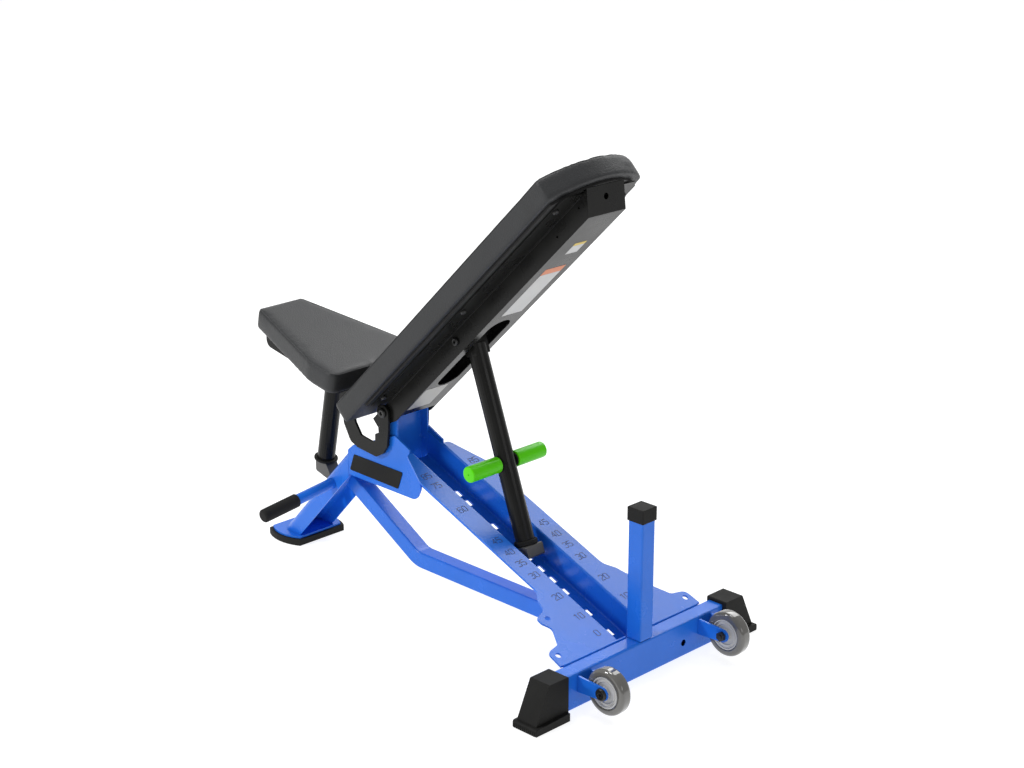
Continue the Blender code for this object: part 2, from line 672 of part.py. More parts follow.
def build_strut():
    tube = rod("strut_tube", STRUT, (0.015, 0, 0), (0.4405, 0, 0), 0.02075, STEEL_BLACK, 24)
    eye = [(0.040, -0.0155), (0.040, 0.0155)] + arc((0, 0), 0.0155, 90, 270, 14)
    join(tube, slab("strut_eye", STRUT, eye, -0.0203, 0.0203))
    cut(tube, bore("strut_eye_bore", STRUT, 0, 0, 0.0053, (-0.1, 0.1)))
    cut(tube, rod("strut_hollow", STRUT, (0.060, 0, 0), (0.50, 0, 0), 0.0185))
    handle_d = 0.2716
    cut(tube, bore("strut_handle_bore", STRUT, handle_d, 0, 0.0083, (-0.1, 0.1)))
    collar = rod("strut_collar", STRUT, (0.4408, 0, 0), (0.4515, 0, 0), 0.0255, PLASTIC, 24)
    soften(collar, 0.0015, 1)
    shoe = box("strut_shoe", STRUT, (0.4518, 0.4780), (-0.025, 0.025), (-0.025, 0.025), (GREY, 0.4, 0.0))
    soften(shoe, 0.003, 2)
    join(shoe, bore("strut_hook", STRUT, 0.4733, -0.0154, 0.0119, (-0.016, 0.016)))
    bar = rod("strut_handle_bar", STRUT, (handle_d, -0.100, 0), (handle_d, 0.100, 0), 0.008, PLASTIC, 24)
    for side, sign in SIDES:
        shoulder = rod(
            f"handle_shoulder_{side}",
            STRUT,
            (handle_d, sign * 0.0212, 0),
            (handle_d, sign * 0.0242, 0),
            0.0145,
        )
        join(bar, shoulder)
    for side, sign in SIDES:
        grip = rod(
            f"strut_grip_{side}",
            STRUT,
            (handle_d, sign * 0.0245, 0),
            (handle_d, sign * 0.1080, 0),
            0.0175,
            (GREEN, 0.5, 0.0),
            20,
        )
        soften(grip, 0.004, 2)
        cut(grip, bore(f"grip_socket_{side}", STRUT, handle_d, 0, 0.0083, across_y(sign, 0.01, 0.1003)))
    bolt = rod("strut_pivot_bolt", STRUT, (0, -0.0560, 0), (0, 0.0600, 0), 0.005, BOLT_BLACK, 16)
    head = rod("strut_bolt_head", STRUT, (0, -0.0580, 0), (0, -0.0528, 0), 0.0090, sides=16)
    join(bolt, soften(head, 0.0015, 1))
    nut = rod("strut_pivot_nut", STRUT, (0, 0.0528, 0), (0, 0.0590, 0), 0.0092, PLATED, 6)
    cut(nut, bore("strut_nut_bore", STRUT, 0, 0, 0.0053, (0, 0.1)))


# ---- Seat ----


def seat_outline(inset, start):
    nose_x = SEAT_PAD_X[0] + inset
    side = [
        (start, PAD_HALF - inset, 0.020),
        (SEAT_FLARE_X, PAD_HALF - inset, 0.060),
        (nose_x, SEAT_NOSE_HALF - inset, 0.011),
    ]
    return fillet(mirrored(side), 4)


def build_seat():
    pad = slab("seat_pad", SEAT, seat_outline(0, SEAT_PAD_X[1]), *PAD_Z, "Z", (VINYL, 0.5, 0.0))
    soften(pad, 0.005, 2, 50)
    slab("seat_board", SEAT, seat_outline(0.014, -0.101), *BOARD_Z, "Z", PLASTIC)
    side = [(-0.4330, 0.0125), (-0.4250, SEAT_FLOOR, 0.018), (-0.1000, SEAT_FLOOR), (-0.1000, 0.0125)]
    channel = slab("seat_channel", SEAT, fillet(side), -SEAT_HALF, SEAT_HALF, "Y", STEEL_BLACK)
    wall = 0.003
    inner = SEAT_HALF - wall
    inside = [(-0.4298, 0.03), (-0.4215, SEAT_FLOOR + wall, 0.015), (-0.05, SEAT_FLOOR + wall), (-0.05, 0.03)]
    cut(channel, slab("seat_trough", SEAT, fillet(inside), -inner, inner))
    slot = [(-0.263, 0.024), (-0.263, -0.024), (-0.190, -0.024), (-0.190, 0.024)]
    cut(channel, slab("seat_web_slot", SEAT, slot, -0.04, -0.015, "Z"))
    cut(channel, bore("seat_post_bore", SEAT, *POST_PIVOT, 0.0053, (-0.1, 0.1)))
    ring = fillet(
        [
            *arc((0, 0), 0.0180, 0, 180, 14),
            (-0.0140, -0.0490),
            (-0.0258, -0.0545, 0.003),
            (-0.0262, -0.0700, 0.003),
            (-0.0345, -0.0765, 0.003),
            (-0.0740, -0.0705, 0.006),
            (-0.0930, -0.0434, 0.010),
            (-0.1020, 0.0315),
            (-0.1450, 0.0400),
            (-0.1300, -0.0560, 0.020),
            (-0.1090, -0.0925, 0.012),
            (-0.0850, -0.1015, 0.020),
            (-0.0240, -0.1078, 0.014),
            (-0.0010, -0.0945, 0.012),
            (0.0125, -0.0750, 0.012),
            (0.0168, -0.0400, 0.020),
        ]
    )
    for name, sign in SIDES:
        plate = slab(f"hinge_plate_{name}", PIVOT, ring, *across_y(sign, 0.055, 0.061), "Y", STEEL_BLACK)
        ear_y = across_y(sign, SEAT_HALF + GAP, 0.058)
        ear = box(f"plate_ear_{name}", SEAT, (-0.148, -0.108), ear_y, (0.004, 0.0095))
        join(plate, ear)
        cut(plate, bore(f"plate_bore_{name}", PIVOT, 0, 0, HOLE_R, (-0.1, 0.1)))


def build_seat_post():
    tube = rod("seat_post_tube", POST, (0.010, 0, 0), (0.2254, 0, 0), 0.0205, STEEL_BLACK, 24)
    eye = [(0.030, -0.0190), (0.030, 0.0190)] + arc((0, 0), 0.0190, 90, 270, 14)
    join(tube, slab("post_eye", POST, eye, -0.0200, 0.0200))
    cut(tube, bore("post_eye_bore", POST, 0, 0, 0.0053, (-0.1, 0.1)))
    cut(tube, rod("seat_post_hollow", POST, (0.050, 0, 0), (0.30, 0, 0), 0.0182))
    disc = rod("seat_post_disc", POST, (0.2257, 0, 0), (0.2315, 0, 0), 0.0275, PLASTIC, 24)
    soften(disc, 0.0012, 1)
    outline = fillet(
        [
            (0.2318, -0.018, 0.002),
            (0.2318, 0.018, 0.002),
            (0.2470, 0.0330, 0.006),
            (0.2570, 0.0390, 0.007),
            (0.2660, 0.0310, 0.006),
            (0.2630, -0.0120, 0.006),
        ],
        4,
    )
    slab("seat_post_shoe", POST, outline, -0.0160, 0.0160, "Y", (GREY, 0.4, 0.0))
    bolt = rod("seat_post_bolt", POST, (0, -0.0435, 0), (0, 0.0470, 0), 0.005, BOLT_BLACK, 16)
    head = rod("post_bolt_head", POST, (0, -0.0455, 0), (0, -0.0403, 0), 0.0090, sides=16)
    join(bolt, soften(head, 0.0015, 1))
    nut = rod("seat_post_nut", POST, (0, 0.0403, 0), (0, 0.0462, 0), 0.0092, PLATED, 6)
    cut(nut, bore("post_nut_bore", POST, 0, 0, 0.0053, (0, 0.1)))


build_rail()
build_hub()
build_column()
build_leg()
build_foot()
build_brace()
build_carry_handle()
build_rear()
build_rear_feet()
build_wheels()
build_hinge()
build_back()
build_strut()
build_seat()
build_seat_post()
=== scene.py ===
"""Adjustable weight bench: materials, cushions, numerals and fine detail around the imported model."""

import json
from math import atan2, cos, pi, radians, sin

import bmesh
import bpy
from mathutils import Matrix, Vector
from mathutils.bvhtree import BVHTree


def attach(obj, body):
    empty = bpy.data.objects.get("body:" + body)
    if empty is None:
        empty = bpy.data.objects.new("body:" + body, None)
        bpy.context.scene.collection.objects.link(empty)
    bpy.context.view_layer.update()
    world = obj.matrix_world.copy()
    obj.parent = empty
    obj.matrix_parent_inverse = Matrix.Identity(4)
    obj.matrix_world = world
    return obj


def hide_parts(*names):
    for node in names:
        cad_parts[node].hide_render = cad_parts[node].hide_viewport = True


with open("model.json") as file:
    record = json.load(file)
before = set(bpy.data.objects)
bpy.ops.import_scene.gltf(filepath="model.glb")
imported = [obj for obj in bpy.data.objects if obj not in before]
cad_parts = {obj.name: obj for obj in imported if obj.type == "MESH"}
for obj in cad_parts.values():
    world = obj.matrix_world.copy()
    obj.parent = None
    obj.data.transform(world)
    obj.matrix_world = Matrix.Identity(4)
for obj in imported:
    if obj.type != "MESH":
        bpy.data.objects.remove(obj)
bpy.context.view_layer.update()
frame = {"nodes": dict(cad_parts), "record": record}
nodes = frame["nodes"]

# ---- Where things are, as in the model ----
HINGE = (-0.199, 0.403)
BACK_TILT = 44.5
SEAT_TILT = 10.9
STRUT_PIVOT = (0.3079, -0.0067)
STRUT_DROP = 70.0
POST_PIVOT = (-0.2266, -0.0100)
POST_DROP = 101.33
AXLE = (0.582, 0.0605)
RAIL_START = (-0.051, 0.2985)
RAIL_SLOPE = 21.74
WHEEL_Y = 0.1815
PAD_HALF = 0.135
PAD_TAIL_X = -0.047
PAD_SHOULDER_X = 0.811
PAD_APEX_X = 0.857
SEAT_REAR_X = -0.089
SEAT_FLARE_X = -0.172
SEAT_NOSE_X = -0.4428
SEAT_NOSE_HALF = 0.065
CHANNEL_FLOOR = -0.0324
HANDLE_D = 0.2716
SIDES = (("l", -1), ("r", 1))


def place(x, z, degrees):
    """A frame at (x, 0, z) turned about +Y."""
    return Matrix.Translation((x, 0, z)) @ Matrix.Rotation(radians(degrees), 4, "Y")


WORLD = Matrix.Identity(4)
BACK = place(*HINGE, -BACK_TILT)
SEAT = place(*HINGE, SEAT_TILT)
strut_at = BACK @ Vector((STRUT_PIVOT[0], 0, STRUT_PIVOT[1]))
STRUT = place(strut_at.x, strut_at.z, STRUT_DROP)
post_at = SEAT @ Vector((POST_PIVOT[0], 0, POST_PIVOT[1]))
POST = place(post_at.x, post_at.z, POST_DROP)
RAIL = place(*RAIL_START, RAIL_SLOPE)
WHEEL = place(*AXLE, 0)
PIVOT = place(*HINGE, 0)

# ---- Camera, light and floor ----
camera_data = bpy.data.cameras.new("camera")
camera_data.lens = 72.0
camera_data.sensor_width = 36.0
camera = bpy.data.objects.new("camera", camera_data)
camera.location = (2.9555, -2.8256, 1.8855)
camera.rotation_euler = (radians(71.306), 0, radians(44.928))
bpy.context.scene.collection.objects.link(camera)
bpy.context.scene.camera = camera
bpy.context.scene.view_settings.view_transform = "Standard"
bpy.context.scene.view_settings.look = "None"


def area_light(name, location, target, size, power):
    data = bpy.data.lights.new(name, "AREA")
    data.shape = "SQUARE"
    data.size = size
    data.energy = power
    light = bpy.data.objects.new(name, data)
    light.location = location
    light.rotation_euler = (Vector(target) - Vector(location)).to_track_quat("-Z", "Y").to_euler()
    bpy.context.scene.collection.objects.link(light)


MIDDLE = (0.0, 0.0, 0.4)
area_light("key_light", (-1.9, -3.4, 2.7), MIDDLE, 0.7, 88)
area_light("front_light", (3.6, -0.2, 1.4), (0.2, 0.0, 0.5), 0.9, 8)
area_light("back_light", (-3.4, 3.2, 2.3), MIDDLE, 4.2, 32)
area_light("top_light", (-0.9, 2.7, 3.2), MIDDLE, 2.6, 82)
area_light("overhead_light", (-0.4, -0.3, 4.0), MIDDLE, 1.2, 54)

world = bpy.data.worlds.new("studio")
world.use_nodes = True
sky = world.node_tree.nodes["Background"]
sky.inputs["Color"].default_value = (1.0, 1.0, 1.0, 1)
sky.inputs["Strength"].default_value = 0.42
bpy.context.scene.world = world


# ---- Materials ----
def ramp(tree, source, low, high, start=0.35, end=0.65):
    node = tree.nodes.new("ShaderNodeValToRGB")
    node.color_ramp.elements[0].position = start
    node.color_ramp.elements[1].position = end
    node.color_ramp.elements[0].color = (*low, 1)
    node.color_ramp.elements[1].color = (*high, 1)
    tree.links.new(source, node.inputs["Fac"])
    return node.outputs["Color"]


def material(name, low, high, rough, bumps, scale=14.0, metallic=0.0, coat=0.0, coat_rough=0.1, sheen=0.0,
             specular=0.5, glow=0.0):
    """A finish whose colour and roughness drift between two values; each bump is (kind, scale, depth)."""
    made = bpy.data.materials.new(name)
    made.use_nodes = True
    tree = made.node_tree
    shader = tree.nodes["Principled BSDF"]
    shader.inputs["Metallic"].default_value = metallic
    shader.inputs["Coat Weight"].default_value = coat
    shader.inputs["Coat Roughness"].default_value = coat_rough
    shader.inputs["Sheen Weight"].default_value = sheen
    shader.inputs["Specular IOR Level"].default_value = specular
    if glow:
        shader.inputs["Emission Color"].default_value = (1.0, 1.0, 1.0, 1)
        shader.inputs["Emission Strength"].default_value = glow
    where = tree.nodes.new("ShaderNodeTexCoord").outputs["Object"]
    drift = tree.nodes.new("ShaderNodeTexNoise")
    drift.inputs["Scale"].default_value = scale
    drift.inputs["Detail"].default_value = 5.0
    tree.links.new(where, drift.inputs["Vector"])
    tree.links.new(ramp(tree, drift.outputs["Fac"], low, high), shader.inputs["Base Color"])
    span = tree.nodes.new("ShaderNodeMapRange")
    span.inputs["From Min"].default_value = 0.3
    span.inputs["From Max"].default_value = 0.7
    span.inputs["To Min"].default_value = rough[0]
    span.inputs["To Max"].default_value = rough[1]
    tree.links.new(drift.outputs["Fac"], span.inputs["Value"])
    tree.links.new(span.outputs["Result"], shader.inputs["Roughness"])
    normal = None
    for kind, size, depth in bumps:
        if kind == "voronoi":
            texture = tree.nodes.new("ShaderNodeTexVoronoi")
            texture.feature = "SMOOTH_F1"
            height = texture.outputs["Distance"]
        else:
            texture = tree.nodes.new("ShaderNodeTexNoise")
            texture.inputs["Detail"].default_value = 4.0
            height = texture.outputs["Fac"]
        texture.inputs["Scale"].default_value = size
        tree.links.new(where, texture.inputs["Vector"])
        bump = tree.nodes.new("ShaderNodeBump")
        bump.inputs["Strength"].default_value = 0.6
        bump.inputs["Distance"].default_value = depth
        tree.links.new(height, bump.inputs["Height"])
        if normal:
            tree.links.new(normal, bump.inputs["Normal"])
        normal = bump.outputs["Normal"]
    if normal:
        tree.links.new(normal, shader.inputs["Normal"])
    return made


BLUE = material("powder_blue", (0.012, 0.140, 0.64), (0.015, 0.155, 0.70), (0.20, 0.30),
                [("noise", 420, 0.00016)], specular=0.30)
BLACK = material("satin_black", (0.0080, 0.0080, 0.0075), (0.0112, 0.0112, 0.0105), (0.24, 0.34),
                 [("noise", 520, 0.00016)], specular=0.16)
GREY = material("grey_steel", (0.070, 0.068, 0.066), (0.10, 0.098, 0.095), (0.3, 0.42),
                [("noise", 300, 0.0003)], metallic=0.3)
VINYL = material("grained_vinyl", (0.0235, 0.0245, 0.0255), (0.030, 0.031, 0.033), (0.42, 0.52),
                 [("voronoi", 420, 0.0007), ("noise", 1100, 0.00015)], scale=9, specular=0.30)
BOARD = material("painted_board", (0.010, 0.010, 0.010), (0.016, 0.016, 0.016), (0.35, 0.5),
                 [("noise", 180, 0.0005)], specular=0.25)
RUBBER = material("moulded_rubber", (0.015, 0.015, 0.014), (0.021, 0.021, 0.0195), (0.58, 0.70),
                  [("noise", 700, 0.0003)], specular=0.10)
PLASTIC = material("black_plastic", (0.0125, 0.0125, 0.012), (0.018, 0.018, 0.017), (0.50, 0.62),
                   [("voronoi", 900, 0.00015)], specular=0.09)
FOAM = material("foam_grip", (0.010, 0.010, 0.010), (0.016, 0.016, 0.016), (0.7, 0.85),
                [("noise", 1500, 0.0004), ("noise", 400, 0.0003)], specular=0.2)
GREEN = material("green_grip", (0.085, 0.60, 0.001), (0.098, 0.66, 0.002), (0.26, 0.36),
                 [("noise", 600, 0.00015)], specular=0.20)
TYRE = material("tyre_grey", (0.105, 0.102, 0.095), (0.130, 0.126, 0.118), (0.05, 0.10),
                [("noise", 70, 0.0010)], coat=0.8, coat_rough=0.04)
HUB = material("hub_grey", (0.46, 0.46, 0.46), (0.53, 0.53, 0.525), (0.28, 0.40), [("noise", 500, 0.0002)])
ZINC = material("zinc_plate", (0.50, 0.50, 0.49), (0.62, 0.62, 0.60), (0.22, 0.38),
                [("noise", 250, 0.0002)], metallic=1.0)
BOLT = material("black_bolt", (0.010, 0.010, 0.010), (0.020, 0.020, 0.020), (0.22, 0.34),
                [("noise", 600, 0.0002)], specular=0.4)
# The digits are cut through the rail's flanges; this dark blue is painted shade for the shaded frame seen
# through the cut-outs.
DIGIT_SHADE = material("numeral_painted_shade", (0.008, 0.020, 0.075), (0.012, 0.026, 0.090), (0.4, 0.5),
               [("noise", 900, 0.0001)], specular=0.2)


def sticker(name, low, high):
    return material("sticker_" + name, low, high, (0.3, 0.4), [("noise", 300, 0.0001)], specular=0.3)


PAPER = sticker("white", (0.40, 0.40, 0.395), (0.46, 0.46, 0.45))
BEIGE = sticker("beige", (0.34, 0.325, 0.29), (0.40, 0.385, 0.35))
ORANGE = sticker("orange", (0.50, 0.12, 0.02), (0.56, 0.14, 0.03))
YELLOW = sticker("yellow", (0.50, 0.36, 0.03), (0.56, 0.40, 0.05))
FLOOR = material("floor", (0.36, 0.36, 0.36), (0.38, 0.38, 0.38), (0.7, 0.8),
                 [("noise", 20, 0.0002)], scale=2, specular=0.1, glow=0.84)

floor_mesh = bpy.data.meshes.new("floor")
work = bmesh.new()
bmesh.ops.create_grid(work, x_segments=8, y_segments=8, size=80)
work.to_mesh(floor_mesh)
work.free()
floor = bpy.data.objects.new("floor", floor_mesh)
floor.location.z = -0.0004
floor_mesh.materials.append(FLOOR)
bpy.context.scene.collection.objects.link(floor)

LOOKS = {
    "powder_blue": BLUE, "satin_black": BLACK, "grey_steel": GREY, "vinyl": VINYL, "board": BOARD,
    "green_grip": GREEN, "tyre_rubber": TYRE, "foot_rubber": RUBBER, "foam_grip": FOAM, "grey_plastic": HUB,
    "black_plastic": PLASTIC, "black_fastener": BOLT, "zinc": ZINC,
}
for part in frame["record"]["subparts"]:
    node = nodes[part["node"]]
    node.data.materials.clear()
    node.data.materials.append(LOOKS[part["material_slot"]])
    node.data.shade_smooth()
    node.data.set_sharp_from_angle(angle=radians(32))


# ---- Mesh helpers ----
def finish_piece(name, work, at, look, body, replaced=(), smooth=35):
    """Turns a bmesh into a piece in place, smooth but for its sharp edges."""
    bmesh.ops.remove_doubles(work, verts=work.verts, dist=0.00001)
    bmesh.ops.recalc_face_normals(work, faces=work.faces)
    mesh = bpy.data.meshes.new(name)
    work.to_mesh(mesh)
    work.free()
    mesh.transform(at)
    mesh.materials.append(look)
    mesh.shade_smooth()
    mesh.set_sharp_from_angle(angle=radians(smooth))
    piece = bpy.data.objects.new(name, mesh)
    bpy.context.scene.collection.objects.link(piece)
    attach(piece, body)
    if replaced:
        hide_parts(*replaced)
    return piece


def turned(work, profile, start, along, sides=64, hexed=()):
    """Adds a closed turned solid: profile (distance, radius) points; the indices in hexed are six-sided."""
    axis = along.normalized()
    turn = Vector((0, 0, 1)).rotation_difference(axis).to_matrix()
    rings = []
    for i, (distance, radius) in enumerate(profile):
        if radius < 1e-7:
            rings.append([work.verts.new(start + axis * distance)])
            continue
        ring = []
        for k in range(sides):
            angle = 2 * pi * k / sides
            reach = radius
            if i in hexed:
                reach = radius * cos(pi / 6) / cos((angle % (pi / 3)) - pi / 6)
            spoke = turn @ Vector((reach * cos(angle), reach * sin(angle), 0))
            ring.append(work.verts.new(start + axis * distance + spoke))
        rings.append(ring)
    following = rings[1:]
    if len(rings[0]) > 1:
        following.append(rings[0])
    for first, second in zip(rings, following):
        for k in range(sides):
            n = (k + 1) % sides
            corners = [first[i % len(first)] for i in (k, n)] + [second[i % len(second)] for i in (n, k)]
            unique = list(dict.fromkeys(corners))
            if len(unique) > 2:
                work.faces.new(unique)
    return work


def rounded_rod(length, radius, edge, steps=5):
    """The profile of a rod from 0 to length with rounded rims."""
    points = [(0, 0)]
    for i in range(steps + 1):
        a = pi / 2 * i / steps
        points.append((edge - edge * cos(a), radius - edge + edge * sin(a)))
    for i in range(steps + 1):
        a = pi / 2 * i / steps
        points.append((length - edge + edge * sin(a), radius - edge + edge * cos(a)))
    points.append((length, 0))
    return points


def turned_piece(name, profile, at, start, end, look, body, replaced=(), sides=64, hexed=(), smooth=35):
    work = turned(bmesh.new(), profile, Vector(start), Vector(end) - Vector(start), sides, hexed)
    return finish_piece(name, work, at, look, body, replaced, smooth)


def fillet(corners, steps=8):
    points = []
    for i, corner in enumerate(corners):
        here = Vector(corner[:2])
        if len(corner) == 2:
            points.append(here)
            continue
        to_last = (Vector(corners[i - 1][:2]) - here).normalized()
        to_next = (Vector(corners[(i + 1) % len(corners)][:2]) - here).normalized()
        half = to_last.angle(to_next) / 2
        centre = here + (to_last + to_next).normalized() * (corner[2] / sin(half))
        reach = corner[2] * cos(half) / sin(half)
        first = here + to_last * reach - centre
        last = here + to_next * reach - centre
        start = atan2(first.y, first.x)
        sweep = (atan2(last.y, last.x) - start + pi) % (2 * pi) - pi
        for step in range(steps + 1):
            angle = start + sweep * step / steps
            points.append(centre + Vector((cos(angle), sin(angle))) * corner[2])
    return points


def plate(work, outline, low, high):
    """Adds a flat plate in XY from low to high."""
    rings = [[work.verts.new((*point, z)) for point in outline] for z in (low, high)]
    for k in range(len(outline)):
        n = (k + 1) % len(outline)
        work.faces.new((rings[0][k], rings[0][n], rings[1][n], rings[1][k]))
    work.faces.new(list(reversed(rings[0])))
    work.faces.new(rings[1])
    return work


# ---- Cushions ----
CUSHION_Z = (0.0185, 0.0668)
CUSHION_INSET = 0.0006
TOP_ROUND = 0.0045
LOW_ROUND = 0.007
ROUND_STEPS = 6
VOXEL = 0.005
PRESSURE = 4.0
SETTLE_FRAMES = 20
SWELL_LIMIT = 0.0028
SEAM_INSET = 0.0050
SEAM_R = 0.0011
SEAM_SIDES = 8


def mirrored(side):
    return list(side) + [(p[0], -p[1], *p[2:]) for p in reversed(side)]


def back_outline(inset):
    shoulder, apex = PAD_SHOULDER_X - inset, PAD_APEX_X - inset
    half = PAD_HALF - inset
    bulge = apex - shoulder
    radius = (half**2 + bulge**2) / (2 * bulge)
    spread = atan2(half, radius - bulge)
    head = [
        Vector((apex - radius + radius * cos(a), radius * sin(a)))
        for a in [spread - 2 * spread * i / 36 for i in range(37)]
    ]
    tail_x = PAD_TAIL_X + inset
    tail = fillet([(head[-1].x, -half), (tail_x, -half, 0.008), (tail_x, half, 0.008), (head[0].x, half)])
    return head[1:-1] + tail


def seat_outline(inset):
    side = [
        (SEAT_REAR_X - inset, PAD_HALF - inset, 0.020),
        (SEAT_FLARE_X, PAD_HALF - inset, 0.060),
        (SEAT_NOSE_X + inset, SEAT_NOSE_HALF - inset, 0.011),
    ]
    return fillet(mirrored(side))


def cushion(name, outline_of, at, body, node):
    """A firm upholstered pad: rounded edges, a slightly crowned top and a faint swell in its sides."""
    low, high = CUSHION_Z
    work = bmesh.new()
    angles = [pi / 2 * i / ROUND_STEPS for i in range(ROUND_STEPS + 1)]
    levels = [(low + LOW_ROUND - LOW_ROUND * cos(a), LOW_ROUND - LOW_ROUND * sin(a)) for a in angles]
    levels += [(high - TOP_ROUND + TOP_ROUND * sin(a), TOP_ROUND - TOP_ROUND * cos(a)) for a in angles]
    rings = []
    for z, inset in levels:
        rings.append([work.verts.new((p.x, p.y, z)) for p in outline_of(CUSHION_INSET + inset)])
    for first, second in zip(rings, rings[1:]):
        count = len(first)
        for k in range(count):
            n = (k + 1) % count
            work.faces.new((first[k], first[n], second[n], second[k]))
    work.faces.new(list(reversed(rings[0])))
    work.faces.new(rings[-1])
    bmesh.ops.recalc_face_normals(work, faces=work.faces)
    mesh = bpy.data.meshes.new(name)
    work.to_mesh(mesh)
    work.free()
    piece = bpy.data.objects.new(name, mesh)
    bpy.context.scene.collection.objects.link(piece)
    remesh = piece.modifiers.new("voxels", "REMESH")
    remesh.mode = "VOXEL"
    remesh.voxel_size = VOXEL
    bake(piece)
    before = [v.co.copy() for v in piece.data.vertices]
    inflate(piece)
    for vertex, old in zip(piece.data.vertices, before):
        move = vertex.co - old
        if move.length > SWELL_LIMIT:
            move *= SWELL_LIMIT / move.length
        if old.z < low + 0.004:
            move.z = max(move.z, 0)
            move *= 0.4
        vertex.co = old + move
        vertex.co.z = max(vertex.co.z, low)
    smooth = piece.modifiers.new("smooth", "SMOOTH")
    smooth.factor = 0.5
    smooth.iterations = 2
    subdivide = piece.modifiers.new("fine", "SUBSURF")
    subdivide.levels = 1
    subdivide.render_levels = 1
    bake(piece)
    welt(name + "_seam", piece, outline_of(SEAM_INSET), at, body)
    piece.data.transform(at)
    piece.data.materials.clear()
    piece.data.materials.append(VINYL)
    piece.data.shade_smooth()
    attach(piece, body)
    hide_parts(node)
    return piece


def bake(piece):
    """Puts a piece's modifiers into its mesh."""
    bpy.context.view_layer.update()
    graph = bpy.context.evaluated_depsgraph_get()
    mesh = bpy.data.meshes.new_from_object(piece.evaluated_get(graph))
    piece.modifiers.clear()
    piece.data = mesh


def inflate(piece):
    """Swells a pad with a short cloth simulation under pressure, and keeps the result."""
    cloth = piece.modifiers.new("cloth", "CLOTH")
    settings = cloth.settings
    settings.quality = 5
    settings.mass = 0.3
    settings.tension_stiffness = 25
    settings.compression_stiffness = 25
    settings.bending_stiffness = 5
    settings.use_pressure = True
    settings.uniform_pressure_force = PRESSURE
    settings.effector_weights.gravity = 0
    cloth.point_cache.frame_start = 1
    cloth.point_cache.frame_end = SETTLE_FRAMES
    for step in range(1, SETTLE_FRAMES + 1):
        bpy.context.scene.frame_set(step)
    bake(piece)
    bpy.context.scene.frame_set(1)


def welt(name, cushion_piece, path, at, body):
    """A thin stitched welt that follows the top of a cushion just inside its rim."""
    mesh = cushion_piece.data
    tree = BVHTree.FromPolygons([v.co for v in mesh.vertices], [tuple(f.vertices) for f in mesh.polygons])
    centres = []
    for point in path:
        hit = tree.ray_cast(Vector((point.x, point.y, 0.12)), Vector((0, 0, -1)))[0]
        centres.append(hit + Vector((0, 0, 0.0001)))
    work = bmesh.new()
    rings = []
    count = len(centres)
    for i, centre in enumerate(centres):
        along = (centres[(i + 1) % count] - centres[i - 1]).normalized()
        side = along.cross(Vector((0, 0, 1))).normalized()
        up = side.cross(along)
        rings.append([
            work.verts.new(centre + (side * cos(a) + up * sin(a)) * SEAM_R)
            for a in [2 * pi * k / SEAM_SIDES for k in range(SEAM_SIDES)]
        ])
    for first, second in zip(rings, rings[1:] + rings[:1]):
        for k in range(SEAM_SIDES):
            n = (k + 1) % SEAM_SIDES
            work.faces.new((first[k], first[n], second[n], second[k]))
    finish_piece(name, work, at, VINYL, body, (), 60)


cushion("back_cushion", back_outline, BACK, "backrest", "back_pad")
cushion("seat_cushion", seat_outline, SEAT, "seat", "seat_pad")

# ---- Wheels ----
TREAD_ROUND = 0.008

for side, sign in SIDES:
    middle = sign * WHEEL_Y
    body = "wheel_left" if sign < 0 else "wheel_right"
    tyre = [(-0.0135, 0.0335), (-0.0140, 0.0345), (-0.0140, 0.0380)]
    quarter = [pi / 2 * i / 8 for i in range(9)]
    tyre += [(-0.006 - TREAD_ROUND * cos(a), 0.040 + TREAD_ROUND * sin(a)) for a in quarter]
    tyre += [(0.006 + TREAD_ROUND * sin(a), 0.040 + TREAD_ROUND * cos(a)) for a in quarter]
    tyre += [(0.0140, 0.0380), (0.0140, 0.0345), (0.0135, 0.0335), (0.0, 0.0328)]
    start, end = Vector((0, middle, 0)), Vector((0, middle + 1, 0))
    node = f"wheel_tyre_{side}"
    turned_piece(f"tyre_{side}", tyre, WHEEL, start, end, TYRE, body, (node,), 96)
    hub = [(-0.0120, 0.0056), (-0.0145, 0.0060), (-0.0145, 0.0115), (-0.0100, 0.0125), (-0.0100, 0.0215),
           (-0.0118, 0.0225), (-0.0118, 0.0245), (-0.0105, 0.0255), (-0.0105, 0.0285), (-0.0135, 0.0300),
           (-0.0135, 0.0324)]
    hub += [(-x, r) for x, r in reversed(hub)]
    node = f"wheel_hub_{side}"
    turned_piece(f"hub_{side}", hub, WHEEL, start, end, HUB, body, (node,), 80)
